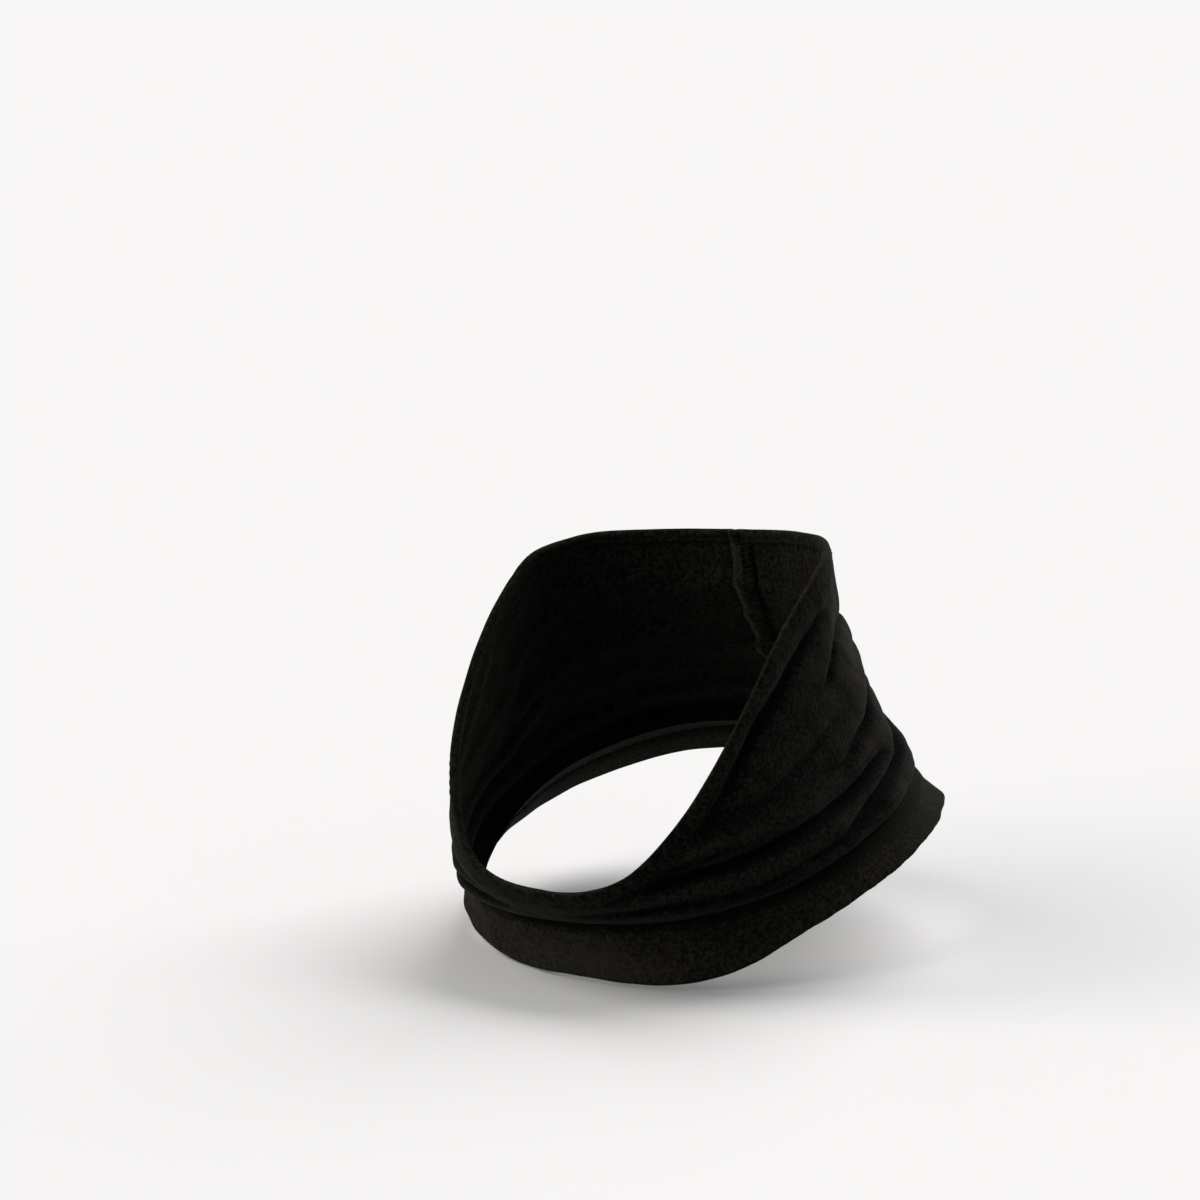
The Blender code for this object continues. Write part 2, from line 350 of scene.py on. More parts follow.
def crease_shape(distance, crease):
    """How deep a crease is, and how far its roll swells and droops, at a distance above its line.

    The cloth above a crease tucks in slowly and the cloth below it starts with a ledge, so each
    roll is fullest a little below its top. A narrow groove marks the line itself.
    """
    climb = np.maximum(distance, 0) / (ROLL_CREST * crease.above)
    roll = climb**2 * np.exp(1 - climb**2)
    reach = np.where(distance < 0, LEDGE * crease.below, TUCK * crease.above)
    away = np.hypot(distance, CREASE_BOTTOM) - CREASE_BOTTOM
    groove = np.exp(-((distance / GROOVE_REACH) ** 2))
    depth = crease.depth * (GROOVE_SHARE * groove + (1 - GROOVE_SHARE) * np.exp(-away / reach))
    return depth, crease.swell * roll, crease.droop * roll


def painted_crease_shading(distance, crease):
    """Painted shade in the hollow of a crease, below 0, and a painted highlight on the roll above it,
    above 0.
    """
    hollow = np.exp(-(((distance + PAINTED_HOLLOW_SHADE_SHIFT) / PAINTED_HOLLOW_SHADE_REACH) ** 2))
    place = PAINTED_CREST_HIGHLIGHT_PLACE * crease.above
    width = PAINTED_CREST_HIGHLIGHT_WIDTH * crease.above
    crest_highlight = np.exp(-(((distance - place) / width) ** 2))
    return (PAINTED_CREST_HIGHLIGHT_SHARE * crest_highlight - hollow) * crease.depth / CREASE_MAIN.depth


def mm_each_degree(level=TUBE_MIDDLE):
    """The distance round the neck for one degree, about."""
    return math.radians(float(section_value("half_width", level)))


def crease_move(crease, ends, angle, height):
    """One crease's depth, swell, droop down, droop round the neck, and its painted shade and highlight."""
    start = crease.route[0][0]
    end = crease.route[-1][0]
    # A crease that runs across the back goes on past 180 degrees.
    angle = np.where(angle < (start + end) / 2 - 180, angle + 360, angle)
    strength = fade(angle, start - ends, start + ends)
    strength = strength * (1 - fade(angle, end - ends, end + ends))
    rise = (smooth_value(crease.route, angle + 1) - smooth_value(crease.route, angle - 1)) / 2
    slope = rise / mm_each_degree()
    steep = np.hypot(1, slope)
    distance = (height - smooth_value(crease.route, angle)) / steep
    depth, swell, droop = crease_shape(distance, crease)
    # The painted shade in the crease's hollow and the painted highlight on its roll.
    shade = painted_crease_shading(distance, crease)
    moves = (depth, swell, droop / steep, droop * slope / steep, shade)
    return [strength * move for move in moves]


def edge_rounding(distance, reach, rounding):
    """How far the cloth turns inward near a free edge, at a distance from that edge."""
    return -rounding * np.maximum(0, 1 - distance / reach) ** 2


def waves(table, angle, height):
    """The sum of a table's waves."""
    total = np.zeros(np.broadcast(angle, height).shape)
    for wave in table:
        total += wave.size * np.sin(wave.round * np.radians(angle) + wave.up * height + wave.start)
    return total


def patches(table, angle, height):
    """The sum of a table's patches."""
    total = np.zeros(np.broadcast(angle, height).shape)
    for patch in table:
        away = (angle - patch.angle + 180) % 360 - 180
        near = (away / patch.angle_reach) ** 2 + ((height - patch.height) / patch.height_reach) ** 2
        total += patch.amount * np.exp(-near)
    return total


def back_seam_offset(angle, height):
    """How far the centre back seam moves the cloth outward."""
    away = (180 - np.abs(angle)) * mm_each_degree()
    groove = -BACK_SEAM_GROOVE * np.exp(-((away / BACK_SEAM_GROOVE_REACH) ** 2))
    welt = BACK_SEAM_WELT * np.exp(-(((away - BACK_SEAM_WELT_AT) / BACK_SEAM_WELT_REACH) ** 2))
    shift = BACK_SEAM_PUCKER_SHIFT * np.sin(BACK_SEAM_PUCKER_SHIFT_RATE * height)
    pucker = np.sin(2 * math.pi * height / BACK_SEAM_PUCKER_LENGTH + shift)
    pucker = BACK_SEAM_PUCKER * pucker * np.exp(-((away / BACK_SEAM_PUCKER_REACH) ** 2))
    return groove + welt + pucker


def cloth_surface(angle, level):
    """Points on the outer face of the cloth, in millimetres, and the painted light and shade there."""
    angle, level = np.broadcast_arrays(angle, level)
    height = height_at(angle, level)
    above_crease = height - edge_height("crease", angle)
    above_hem = height - edge_height("hem", angle)
    below_top = edge_height("top", angle) - height
    depth, out, down = crease_shape(above_crease, CREASE_MAIN)
    hollow = depth**BLEND_POWER
    painted_shading = painted_crease_shading(above_crease, CREASE_MAIN)
    sideways = np.zeros(angle.shape)
    calm = fade(below_top, CREASE_FREE_EDGE, SMOOTH_BELOW_TOP)
    down = down * calm
    for table, ends in ((CREASES, CREASE_FADE), (FINE_CREASES, FINE_FADE)):
        for crease in table:
            moves = crease_move(crease, ends, angle, height)
            hollow = hollow + (calm * moves[0]) ** BLEND_POWER
            out = out + calm * moves[1]
            down = down + calm * moves[2]
            sideways = sideways + calm * moves[3]
            painted_shading = painted_shading + calm * moves[4]
    out = out - hollow ** (1 / BLEND_POWER)
    out = out + np.where(level < 1, LOWER_HEM_SWELL * np.sin(math.pi * np.minimum(level, 1)), 0)
    out = out + np.where(level > 1, PLUMPNESS * fade(above_crease, 0, PLUMPNESS_REACH), 0)
    out = out + edge_rounding(below_top, UPPER_EDGE_REACH, UPPER_EDGE_ROUNDING)
    uneven = waves(UNEVENNESS, angle, height) * (UNEVENNESS_AT_TOP + (1 - UNEVENNESS_AT_TOP) * calm)
    uneven = uneven + patches(BULGES, angle, height)
    out = out + uneven * fade(np.abs(above_crease), 0, UNEVENNESS_REACH)
    out = out + back_seam_offset(angle, height)
    waver = waves(HEM_WAVER, angle, height)
    down = down + waver * (1 - fade(above_hem, 0, HEM_WAVER_REACH))
    # Patches of painted light and painted shade.
    painted_shading = painted_shading + patches(PAINTED_LIGHT_AND_SHADE, angle, height)
    moved_angle = angle + sideways / mm_each_degree()
    moved_height = height - down
    x, y, out_x, out_y = section_point(moved_angle, level_at(moved_angle, moved_height))
    return np.stack((x + out_x * out, y + out_y * out, moved_height), axis=-1), painted_shading


def cloth_point(angle, level):
    """Points on the outer face of the cloth, in millimetres."""
    return cloth_surface(angle, level)[0]


def angles_round():
    """The angles of the mesh's columns, closer together at the centre back seam."""
    edge = 180 - BACK_SEAM_ZONE
    middle = np.arange(-edge, edge, STEP_ROUND)
    after = np.arange(edge, 180, STEP_AT_BACK_SEAM)
    before = np.arange(-180, -edge, STEP_AT_BACK_SEAM)
    return np.concatenate((before, middle, after))


def cloth_frame(angle, level):
    """Points on the outer face of the cloth, and the outward directions there."""
    round_it = cloth_point(angle + ANGLE_STEP, level) - cloth_point(angle - ANGLE_STEP, level)
    up = cloth_point(angle, level + LEVEL_STEP) - cloth_point(angle, level - LEVEL_STEP)
    normal = np.cross(round_it, up)
    return cloth_point(angle, level), normal / np.linalg.norm(normal, axis=-1, keepdims=True)


def rows_between(bottom, top, rows, crowding):
    """Rows of levels from bottom to top, closer together at the bottom if crowding is above 1."""
    return bottom + (top - bottom) * ((np.arange(rows + 1) / rows) ** crowding)[:, None]


def distance_to_last_row(points):
    """For each point of a grid, the distance along its column to the last row."""
    steps = np.linalg.norm(np.diff(points, axis=0), axis=-1)
    return np.concatenate((np.cumsum(steps[::-1], axis=0)[::-1], np.zeros((1, points.shape[1]))))


def level_for_drop(angle, drop):
    """The level that lies a distance below the upper edge, square to that edge."""
    span = edge_height("top", angle) - edge_height("crease", angle)
    slope = (edge_height("top", angle + 1) - edge_height("top", angle - 1)) / (2 * mm_each_degree(2))
    return 2 - drop * np.hypot(1, slope) / span


def ring_faces(rows, columns):
    """Quads between neighbouring rows of a grid whose rows close on themselves."""
    row = np.arange(rows - 1)[:, None]
    column = np.arange(columns)[None, :]
    after = (column + 1) % columns
    low = row * columns
    high = low + columns
    return np.stack((low + column, low + after, high + after, high + column), axis=-1).reshape(-1, 4)


def new_piece(name, points, faces, material):
    """A smooth mesh object from points in millimetres."""
    mesh = bpy.data.meshes.new(name)
    mesh.from_pydata((points.reshape(-1, 3) * MM).tolist(), [], faces)
    mesh.validate()
    mesh.shade_smooth()
    mesh.materials.append(material)
    piece = bpy.data.objects.new(name, mesh)
    bpy.context.scene.collection.objects.link(piece)
    return piece


def add_cloth_map(piece, around, along):
    """A UV map in centimetres of cloth: round the neck, and up it.

    A face that crosses the map's start has a whole turn added at its corners past the start.
    """
    layer = piece.data.uv_layers.new(name="cloth")
    loops = np.empty(len(piece.data.loops), int)
    piece.data.loops.foreach_get("vertex_index", loops)
    u = np.asarray(around).ravel()[loops].reshape(-1, 4)
    v = np.asarray(along).ravel()[loops].reshape(-1, 4)
    turn = u.max()
    wraps = (u.max(axis=1) - u.min(axis=1))[:, None] > turn / 2
    u = np.where(wraps & (u < turn / 2), u + turn, u)
    layer.data.foreach_set("uv", np.stack((u.ravel(), v.ravel()), axis=-1).ravel())


def add_painted_shading(piece, painted_shading):
    """Keep the painted light and shade with each point, for the fleece material."""
    layer = piece.data.attributes.new("painted_shading", "FLOAT", "POINT")
    layer.data.foreach_set("value", np.clip(painted_shading, -1, 1).astype(np.float32).ravel())


def sharpen_rows(piece, rows, columns):
    """Keep the cut ends of a shell crisp in the shading."""
    ends = np.empty(2 * len(piece.data.edges), int)
    piece.data.edges.foreach_get("vertices", ends)
    row = ends.reshape(-1, 2) // columns
    sharp = (row[:, 0] == row[:, 1]) & np.isin(row[:, 0], rows)
    piece.data.edges.foreach_set("use_edge_sharp", sharp)


def make_shell(name, angle, levels, front, back, shared, material):
    """A closed shell of cloth between two faces; where shared, they meet in their last row.

    Only the outer face keeps the painted light and shade.
    """
    skip = 1 if shared else 0
    around = np.broadcast_to((angle + 180) / 360 * CLOTH_ROUND / MM_EACH_CM, levels.shape)
    along = height_at(angle[None, :], levels) / MM_EACH_CM
    painted_shading = cloth_surface(angle[None, :], levels)[1]
    plain = np.zeros_like(painted_shading)
    points = np.concatenate((front, back[::-1][skip:]))
    rows, columns = points.shape[:2]
    column = np.arange(columns)
    after = (column + 1) % columns
    last = (rows - 1) * columns
    closing = np.stack((last + column, last + after, after, column), axis=-1)
    faces = np.concatenate((ring_faces(rows, columns), closing))
    shell = new_piece(name, points, faces.tolist(), material)
    ends = (0, rows - 1) if shared else (0, len(front) - 1, len(front), rows - 1)
    sharpen_rows(shell, ends, columns)
    add_painted_shading(shell, np.concatenate((painted_shading, plain[skip:])))
    add_cloth_map(
        shell,
        np.concatenate((around, around[::-1][skip:])),
        np.concatenate((along, 2 * along[-1:] - along[::-1][skip:])),
    )
    return shell


def relax_rows(points, times):
    """The same grid with its rows evened out, apart from the first and the last."""
    points = points.copy()
    for _ in range(times):
        points[1:-1] = (points[:-2] + 2 * points[1:-1] + points[2:]) / 4
    return points


def make_tube(material):
    """The tube: one layer of fleece from the main crease to the narrow upper hem."""
    angle = angles_round()
    top = level_for_drop(angle, UPPER_HEM_WIDTH)
    levels = rows_between(1.0, top, ROWS_TUBE, ROW_CROWDING)
    points, normals = cloth_frame(angle[None, :], levels)
    drop = (top - levels) / (2 - top) * UPPER_HEM_WIDTH
    front = points - normals * (SEAM_DIP * np.exp(-((drop / SEAM_DIP_REACH) ** 2)))[..., None]
    back = relax_rows(points - normals * CLOTH_THICKNESS, INNER_RELAXING)
    tube = make_shell("tube_cloth", angle, levels, front, back, False, material)
    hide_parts("tube")
    return tube


def make_hem(name, levels, edge_distance, thickness, material, dip):
    """A turned band: two faces that meet in a round fold at the free edge, its last row.

    edge_distance is each point's distance from that edge, and dip how far a seam draws it in.
    """
    angle = angles_round()
    outer, normals = cloth_frame(angle[None, :], levels)
    half = thickness / 2
    reach = np.clip(edge_distance / half, 0, 1)
    swell = half * np.sqrt(np.clip(1 - (1 - reach) ** 2, 0, 1))[..., None]
    middle = outer - normals * half
    front = middle + normals * (swell - dip[..., None])
    back = middle - normals * swell
    return make_shell(name, angle, levels, front, back, True, material)


def make_lower_hem(material):
    """The broad turned hem round the lower opening."""
    angle = angles_round()
    depth = np.full_like(angle, 1 - HEM_FOLD_LEVEL)
    levels = 1 - rows_between(0.0, depth, ROWS_LOWER_HEM, 1 / EDGE_CROWDING)
    distance = distance_to_last_row(cloth_point(angle[None, :], levels))
    no_dip = np.zeros(levels.shape)
    band = make_hem("lower_hem_cloth", levels, distance, LOWER_HEM_THICKNESS, material, no_dip)
    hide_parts("lower_hem")
    return band


def make_upper_hem(material):
    """The narrow turned hem round the upper opening."""
    angle = angles_round()
    bottom = level_for_drop(angle, UPPER_HEM_WIDTH)
    levels = rows_between(bottom, 2.0, ROWS_UPPER_HEM, 1 / EDGE_CROWDING)
    distance = distance_to_last_row(cloth_point(angle[None, :], levels))
    from_seam = distance[:1] - distance
    dip = SEAM_DIP * np.exp(-((from_seam / SEAM_DIP_REACH) ** 2))
    band = make_hem("upper_hem_cloth", levels, distance, UPPER_HEM_THICKNESS, material, dip)
    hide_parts("upper_hem")
    return band


# ---- Sewing ------------------------------------------------------------------------------
# Rows of stitches round the hems. drop: how far below the row's edge it runs, which is the upper
# edge for the upper hem and the main crease for the lower one; inward: how far inside the outer
# face it lies; side: 1 faces out and -1 faces the neck; length, gap and radius: of its stitches.
StitchRow = namedtuple("StitchRow", "name hem drop inward side length gap radius")
STITCH_ROWS = (
    StitchRow("upper outside", "upper", 3.1, 0.0, 1, 2.5, 0.7, 0.14),
    StitchRow("upper inside", "upper", 3.2, UPPER_HEM_THICKNESS, -1, 2.5, 0.7, 0.18),
    StitchRow("lower outside", "lower", 0.5, 0.1, 1, 2.7, 0.7, 0.13),
    StitchRow("lower inside", "lower", 1.6, LOWER_HEM_THICKNESS, -1, 2.7, 0.7, 0.18),
    StitchRow("lower inside, second", "lower", 4.2, LOWER_HEM_THICKNESS, -1, 2.7, 0.7, 0.18),
)
# A row runs between these angles on both sides and is measured along this many points.
ROW_END = 179.7
ROW_POINTS = 1600
STITCH_RINGS = 7
THREAD_SIDES = 6
# A stitch dives under the cloth at its ends and arches over it, in shares of its radius.
THREAD_SINK = 0.8
THREAD_RISE = 1.5

# The allowance of the centre back seam, which lies flat inside: across is the distance from the
# seam, height is how far it stands off the inner face.
AllowancePoint = namedtuple("AllowancePoint", "across height")
ALLOWANCE = (
    AllowancePoint(-0.6, -0.3),
    AllowancePoint(-0.5, 0.7),
    AllowancePoint(0.3, 1.5),
    AllowancePoint(1.8, 1.9),
    AllowancePoint(3.6, 1.8),
    AllowancePoint(5.0, 1.4),
    AllowancePoint(5.9, 0.8),
    AllowancePoint(6.1, 0.2),
    AllowancePoint(5.9, -0.3),
)
ALLOWANCE_ROWS = 170
ALLOWANCE_TOP_DROP = 3.6
ALLOWANCE_WIDTH = 6.0
# Past ALLOWANCE_STEADY from the seam the allowance wavers to and fro; the rates are for one level.
ALLOWANCE_STEADY = 1.0
ALLOWANCE_WAVER = 0.25
ALLOWANCE_WAVER_RATE = 23.0
ALLOWANCE_SHIFT = 1.7
ALLOWANCE_SHIFT_RATE = 9.0

# The overlock threads over the allowance's free edge.
OVERLOCK_PITCH = 1.9
OVERLOCK_SLANT = 0.9
OVERLOCK_START = 2.6
OVERLOCK_RADIUS = 0.15


def level_below_crease(angle, drop):
    """The level that lies a distance below the main crease."""
    return 1 - drop / (edge_height("crease", angle) - edge_height("hem", angle))


def path_distances(points):
    """The distance of each point from the first, along a path of points."""
    steps = np.linalg.norm(np.diff(points, axis=0), axis=1)
    return np.concatenate(([0.0], np.cumsum(steps)))


def along_path(distances, values, where):
    """Vectors interpolated between those at each point of a path, at distances along it."""
    return np.stack([np.interp(where, distances, values[:, axis]) for axis in range(3)], axis=-1)


def thread_tubes(centres, normals, radius):
    """Closed round threads along rows of centres, one thread a row."""
    along = np.gradient(centres, axis=1)
    side = np.cross(along, normals)
    side = side / np.linalg.norm(side, axis=-1, keepdims=True)
    up = np.cross(side, along)
    up = up / np.linalg.norm(up, axis=-1, keepdims=True)
    turn = 2 * math.pi * np.arange(THREAD_SIDES) / THREAD_SIDES
    ring = side[:, :, None] * np.cos(turn)[:, None] + up[:, :, None] * np.sin(turn)[:, None]
    points = centres[:, :, None] + radius * ring
    threads, rings, sides = points.shape[:3]
    start = (np.arange(threads) * rings * sides)[:, None]
    walls = ring_faces(rings, sides)[None] + start[:, :, None]
    first = np.arange(sides)[::-1] + start
    last = np.arange(sides) + (rings - 1) * sides + start
    faces = walls.reshape(-1, 4).tolist() + first.tolist() + last.tolist()
    return points.reshape(-1, 3), faces


def stitch_row(row):
    """The threads of one row of straight stitches."""
    angle = np.linspace(-ROW_END, ROW_END, ROW_POINTS)
    drop_to_level = level_for_drop if row.hem == "upper" else level_below_crease
    level = drop_to_level(angle, row.drop)
    path, normals = cloth_frame(angle, level)
    path = path - normals * row.inward
    normals = normals * row.side
    distances = path_distances(path)
    total = distances[-1]
    count = int(total / (row.length + row.gap))
    share = np.linspace(0, 1, STITCH_RINGS)
    where = total * np.arange(count)[:, None] / count + row.gap / 2 + row.length * share
    centres = along_path(distances, path, where)
    up = along_path(distances, normals, where)
    lift = row.radius * (THREAD_RISE * np.sin(math.pi * share) - THREAD_SINK)
    return thread_tubes(centres + up * lift[:, None], up, row.radius)


def allowance_surface(across, level):
    """Points on the tube's inner face beside the centre back seam, and the directions inward."""
    angle = 180 - across / mm_each_degree()
    points, normals = cloth_frame(angle, level)
    return points - normals * CLOTH_THICKNESS, -normals


def make_back_seam_allowance(material):
    """The overlocked allowance of the centre back seam, pressed to one side inside the tube."""
    top = float(level_for_drop(np.array([180.0]), ALLOWANCE_TOP_DROP)[0])
    level = np.linspace(1.0, top, ALLOWANCE_ROWS)[:, None]
    across = np.array([point.across for point in ALLOWANCE])[None, :]
    height = np.array([point.height for point in ALLOWANCE])[None, :]
    shift = ALLOWANCE_SHIFT * np.sin(ALLOWANCE_SHIFT_RATE * level)
    waver = ALLOWANCE_WAVER * np.sin(ALLOWANCE_WAVER_RATE * level + shift)
    stretch = 1 + waver * (across > ALLOWANCE_STEADY) / ALLOWANCE_WIDTH
    points, inward = allowance_surface(across * stretch, level)
    points = points + inward * height[..., None]
    rows, columns = points.shape[:2]
    faces = ring_faces(rows, columns).tolist()
    faces.append(list(range(columns))[::-1])
    faces.append(list(range((rows - 1) * columns, rows * columns)))
    strip = new_piece("back_seam_allowance", points, faces, material)
    return strip


def overlock_threads():
    """The threads that bind the free edge of the back seam's allowance."""
    top = float(level_for_drop(np.array([180.0]), ALLOWANCE_TOP_DROP)[0])
    level = np.linspace(1.0, top, ROW_POINTS)
    distances = path_distances(allowance_surface(OVERLOCK_START, level)[0])
    count = int(distances[-1] / OVERLOCK_PITCH)
    share = np.linspace(0, 1, STITCH_RINGS)
    where = OVERLOCK_PITCH * np.arange(count)[:, None] + OVERLOCK_SLANT * share
    top_side = ALLOWANCE[:-1]
    end = top_side[-1].across + OVERLOCK_RADIUS
    across = OVERLOCK_START + (end - OVERLOCK_START) * np.sin(math.pi / 2 * share)
    heights = np.interp(across, [point.across for point in top_side], [point.height for point in top_side])
    centres, inward = allowance_surface(across, np.interp(where, distances, level))
    centres = centres + inward * (heights + OVERLOCK_RADIUS / 2)[..., None]
    return thread_tubes(centres, inward, OVERLOCK_RADIUS)


def make_threads(name, parts, material):
    """One piece from several groups of threads."""
    points = []
    faces = []
    for part_points, part_faces in parts:
        first = sum(len(group) for group in points)
        points.append(part_points)
        faces.extend([[corner + first for corner in face] for face in part_faces])
    threads = new_piece(name, np.concatenate(points), faces, material)
    return threads


# ---- Materials ---------------------------------------------------------------------------
# A fleece's colour varies between dark and light; sheen: the pale glow of its nap where the light
# grazes it; rib_depth: how clear its ribs are.
Fleece = namedtuple("Fleece", "name dark light sheen rib_depth")
FLEECE = Fleece("fleece", (0.0003, 0.0003, 0.0002), (0.0077, 0.0072, 0.0055), 0.021, 0.04)
# The lower hem's fleece is the tube's knit painted lighter, with more sheen. This is painted light on the
# hem against the darker tube: lit and shaded copies of one fleece.
HEM_FLEECE_PAINTED_LIGHTER = Fleece("hem fleece", (0.0020, 0.0019, 0.0014), (0.0122, 0.0112, 0.0082), 0.026, 0.05)
EDGE_FLEECE = Fleece("edge fleece", (0.0003, 0.0003, 0.0002), (0.0080, 0.0075, 0.0057), 0.020, 0.04)
THREAD_DARK = (0.0008, 0.0008, 0.0006)
THREAD_LIGHT = (0.0056, 0.0052, 0.0042)
THREAD_SPECULAR = 0.06
THREAD_ROUGHNESS = (0.6, 0.85)
FLEECE_SPECULAR = 0.03
FLEECE_ROUGHNESS = (0.88, 1.0)
SHEEN_ROUGHNESS = 0.35
SHEEN_TINT = (0.95, 0.90, 0.82)

# Patterns of noise, from the finest to the broadest; scale: how many grains there are in a metre.
Noise = namedtuple("Noise", "scale detail roughness")
PLY = Noise(2600.0, 2.0, 0.5)
NAP = Noise(1900.0, 3.0, 0.65)
TUFTS = Noise(900.0, 2.0, 0.6)
MOTTLE = Noise(560.0, 2.0, 0.6)
SHADE = Noise(90.0, 2.0, 0.5)
# The part of the nap's and the tufts' noise that is drawn out to the whole range from 0 to 1.
NOISE_RANGE = (0.36, 0.64)

# The faint ribs of the knit, as bands that run up the cloth. At this scale the band pattern has
# between 5 and 6 ribs in a centimetre.
RIB_SCALE = 1.7507
RIB_WAVER = 1.2
RIB_WAVER_SCALE = 2.0

# The light colour's share is the sum of this base and of each pattern times its share.
MIX_BASE = -0.85
NAP_SHARE = 0.25
TUFT_SHARE = 0.75
MOTTLE_SHARE = 1.40
SHADE_SHARE = 0.15
# The share of the painted light and shade of the creases and patches.
PAINTED_SHADING_SHARE = 0.75

# How far the patterns raise the surface; distance is in metres.
Bump = namedtuple("Bump", "strength distance")
NAP_BUMP = Bump(0.55, 0.0003)
TUFT_BUMP = Bump(0.7, 0.0006)
RIB_BUMP_DISTANCE = 0.0005


def node(tree, kind, links=(), **values):
    """A shader node with its inputs set and linked."""
    made = tree.nodes.new(kind)
    for name, value in values.items():
        setattr(made, name, value)
    for target, source in dict(links).items():
        if isinstance(source, bpy.types.NodeSocket):
            tree.links.new(source, made.inputs[target])
        else:
            made.inputs[target].default_value = source
    return made


def noise(tree, place, kind):
    """A noise pattern at a place in the cloth."""
    inputs = {"Vector": place, "Scale": kind.scale, "Detail": kind.detail, "Roughness": kind.roughness}
    return node(tree, "ShaderNodeTexNoise", inputs).outputs["Fac"]


def ribs(tree):
    """The faint ribs of the knit, which follow the cloth."""
    cloth = node(tree, "ShaderNodeUVMap", uv_map="cloth").outputs["UV"]
    inputs = {"Vector": cloth, "Scale": RIB_SCALE, "Distortion": RIB_WAVER,
              "Detail": 1.0, "Detail Scale": RIB_WAVER_SCALE}
    bands = node(tree, "ShaderNodeTexWave", inputs, wave_type="BANDS", bands_direction="X")
    return bands.outputs["Fac"]


def drawn_out(tree, pattern):
    """A noise pattern with its middle range drawn out from 0 to 1."""
    low, high = NOISE_RANGE
    return node(tree, "ShaderNodeMapRange", {0: pattern, 1: low, 2: high}).outputs[0]


def between(tree, pattern, ends):
    """A value that follows a pattern from one end to the other."""
    return node(tree, "ShaderNodeMapRange", {0: pattern, 3: ends[0], 4: ends[1]}).outputs[0]


def mixed_colour(tree, share, dark, light):
    """A colour between dark and light."""
    inputs = {0: share, 6: (*dark, 1.0), 7: (*light, 1.0)}
    return node(tree, "ShaderNodeMix", inputs, data_type="RGBA").outputs[2]


def raised(tree, pattern, strength, distance, below=None):
    """The normals of a surface that a pattern raises, over those of another pattern."""
    inputs = {"Strength": strength, "Distance": distance, "Height": pattern}
    if below is not None:
        inputs["Normal"] = below
    return node(tree, "ShaderNodeBump", inputs).outputs["Normal"]


def plain_material(name, specular):
    """A material that isn't metal, and its shader."""
    material = bpy.data.materials.new(name)
    material.use_nodes = True
    shader = material.node_tree.nodes["Principled BSDF"]
    shader.inputs["Metallic"].default_value = 0.0
    shader.inputs["Specular IOR Level"].default_value = specular
    return material, shader


def make_fleece(kind):
    """Brushed knit: near black, matt, with a fine nap, small tufts and faint ribs."""
    material, shader = plain_material(kind.name, FLEECE_SPECULAR)
    shader.inputs["Sheen Weight"].default_value = kind.sheen
    shader.inputs["Sheen Roughness"].default_value = SHEEN_ROUGHNESS
    shader.inputs["Sheen Tint"].default_value = (*SHEEN_TINT, 1.0)
    tree = material.node_tree
    place = node(tree, "ShaderNodeTexCoord").outputs["Object"]
    nap = noise(tree, place, NAP)
    tufts = noise(tree, place, TUFTS)
    mottle = noise(tree, place, MOTTLE)
    shade = noise(tree, place, SHADE)
    # The painted light and shade of the creases and patches, read from each point.
    painted_shading = node(tree, "ShaderNodeAttribute", attribute_name="painted_shading").outputs["Fac"]
    clear_tufts = drawn_out(tree, tufts)
    mixed = MIX_BASE
    for pattern, share in ((drawn_out(tree, nap), NAP_SHARE), (clear_tufts, TUFT_SHARE),
                           (mottle, MOTTLE_SHARE), (shade, SHADE_SHARE), (painted_shading, PAINTED_SHADING_SHARE)):
        inputs = {0: pattern, 1: share, 2: mixed}
        mixed = node(tree, "ShaderNodeMath", inputs, operation="MULTIPLY_ADD").outputs[0]
    tree.links.new(mixed_colour(tree, mixed, kind.dark, kind.light), shader.inputs["Base Color"])
    tree.links.new(between(tree, clear_tufts, FLEECE_ROUGHNESS), shader.inputs["Roughness"])
    normal = raised(tree, nap, NAP_BUMP.strength, NAP_BUMP.distance)
    normal = raised(tree, tufts, TUFT_BUMP.strength, TUFT_BUMP.distance, normal)
    normal = raised(tree, ribs(tree), kind.rib_depth, RIB_BUMP_DISTANCE, normal)
    tree.links.new(normal, shader.inputs["Normal"])
    return material


def make_thread_material():
    """Black polyester thread: a little smoother than the fleece."""
    material, shader = plain_material("thread", THREAD_SPECULAR)
    tree = material.node_tree
    ply = noise(tree, node(tree, "ShaderNodeTexCoord").outputs["Object"], PLY)
    tree.links.new(mixed_colour(tree, ply, THREAD_DARK, THREAD_LIGHT), shader.inputs["Base Color"])
    tree.links.new(between(tree, ply, THREAD_ROUGHNESS), shader.inputs["Roughness"])
    return material


# ---- Stage -------------------------------------------------------------------------------
# Sizes of the stage are in metres, and the camera's lens and sensor in millimetres.
FLOOR_HALF_WIDTH = 14.0
FLOOR_GAP = 0.0004
CAMERA_AZIMUTH = 34.0
CAMERA_ELEVATION = 12.0
CAMERA_DISTANCE = 1.3
CAMERA_LENS = 122.85
CAMERA_SENSOR = 36.0
# Where the frame's origin lies from the middle of the picture, measured in metres at the origin.
ORIGIN_RIGHT_OF_CENTRE = 0.03238
ORIGIN_BELOW_CENTRE = 0.08889


def view_axes(azimuth, elevation):
    """The view's right, up and back directions, from angles in degrees."""
    sin_a, cos_a = math.sin(math.radians(azimuth)), math.cos(math.radians(azimuth))
    sin_e, cos_e = math.sin(math.radians(elevation)), math.cos(math.radians(elevation))
    right = np.array((cos_a, sin_a, 0.0))
    up = np.array((-sin_a * sin_e, cos_a * sin_e, cos_e))
    back = np.array((sin_a * cos_e, -cos_a * cos_e, sin_e))
    return right, up, back


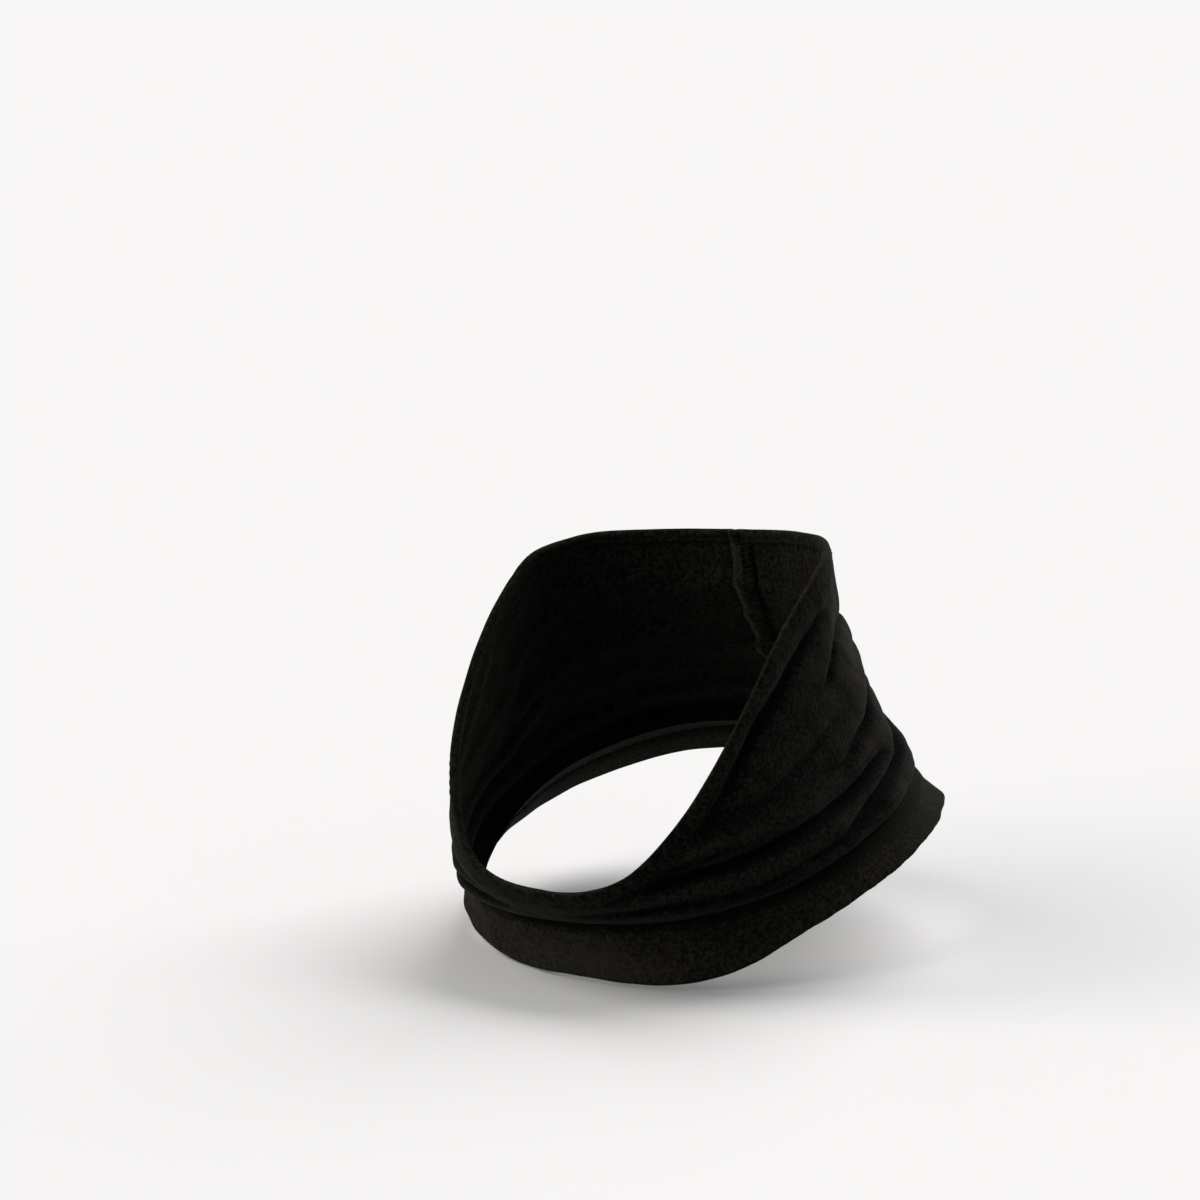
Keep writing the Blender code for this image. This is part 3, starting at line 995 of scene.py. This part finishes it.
def make_camera():
    """The camera, at the photograph's angle and framing."""
    right, up, back = view_axes(CAMERA_AZIMUTH, CAMERA_ELEVATION)
    place = back * CAMERA_DISTANCE - right * ORIGIN_RIGHT_OF_CENTRE + up * ORIGIN_BELOW_CENTRE
    data = bpy.data.cameras.new("camera")
    data.sensor_width = CAMERA_SENSOR
    data.lens = CAMERA_LENS
    camera = bpy.data.objects.new("camera", data)
    turned = Matrix(np.stack((right, up, back), axis=1)).to_4x4()
    camera.matrix_world = Matrix.Translation(place) @ turned
    bpy.context.scene.collection.objects.link(camera)
    bpy.context.scene.camera = camera


# azimuth and elevation: where the light comes from; spread: how broad the lamp looks, in degrees.
Lamp = namedtuple("Lamp", "name azimuth elevation spread strength colour")
LAMPS = (
    Lamp("key", -42, 36, 60, 4.6, (1.0, 0.975, 0.93)),
    Lamp("back", 172, 45, 60, 5.3, (1.0, 0.98, 0.96)),
)
WORLD_COLOUR = (0.35, 0.35, 0.355)
FLOOR_COLOUR = (0.390, 0.392, 0.400)


def make_lights():
    """Soft studio light: a pale surround, a broad lamp ahead and to one side, and one behind."""
    world = bpy.data.worlds.new("studio")
    world.use_nodes = True
    background = world.node_tree.nodes["Background"]
    background.inputs["Color"].default_value = (*WORLD_COLOUR, 1.0)
    bpy.context.scene.world = world
    for lamp in LAMPS:
        right, up, back = view_axes(lamp.azimuth, lamp.elevation)
        data = bpy.data.lights.new(lamp.name, "SUN")
        data.energy = lamp.strength
        data.angle = math.radians(lamp.spread)
        data.color = lamp.colour
        light = bpy.data.objects.new(lamp.name, data)
        light.matrix_world = Matrix(np.stack((right, up, back), axis=1)).to_4x4()
        bpy.context.scene.collection.objects.link(light)


def make_floor():
    """A plain pale floor under the lowest point of the cloth."""
    material = bpy.data.materials.new("pale floor")
    material.use_nodes = True
    shader = material.node_tree.nodes["Principled BSDF"]
    shader.inputs["Base Color"].default_value = (*FLOOR_COLOUR, 1.0)
    shader.inputs["Roughness"].default_value = 1.0
    shader.inputs["Specular IOR Level"].default_value = 0.0
    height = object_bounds()[0].z - FLOOR_GAP
    half = FLOOR_HALF_WIDTH
    plan = ((-half, -half), (half, -half), (half, half), (-half, half))
    corners = [(x, y, height) for x, y in plan]
    mesh = bpy.data.meshes.new("floor")
    mesh.from_pydata(corners, [], [(0, 1, 2, 3)])
    mesh.materials.append(material)
    floor = bpy.data.objects.new("floor", mesh)
    bpy.context.scene.collection.objects.link(floor)


bpy.context.scene.view_settings.view_transform = "Standard"
fleece = make_fleece(FLEECE)
hem_fleece_painted_lighter = make_fleece(HEM_FLEECE_PAINTED_LIGHTER)
edge_fleece = make_fleece(EDGE_FLEECE)
tube = make_tube(fleece)
lower_hem = make_lower_hem(hem_fleece_painted_lighter)
upper_hem = make_upper_hem(edge_fleece)
thread = make_thread_material()
back_seam = make_back_seam_allowance(fleece)
upper_rows = [stitch_row(row) for row in STITCH_ROWS if row.hem == "upper"]
lower_rows = [stitch_row(row) for row in STITCH_ROWS if row.hem == "lower"]
upper_stitches = make_threads("upper_hem_stitches", upper_rows, thread)
lower_stitches = make_threads("lower_hem_stitches", lower_rows, thread)
seam_stitches = make_threads("back_seam_stitches", [overlock_threads()], thread)
sewing = [back_seam, upper_stitches, lower_stitches, seam_stitches]
pieces = [tube, lower_hem, upper_hem] + sewing
for piece in pieces:
    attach(piece, "root")
make_camera()
make_lights()
make_floor()
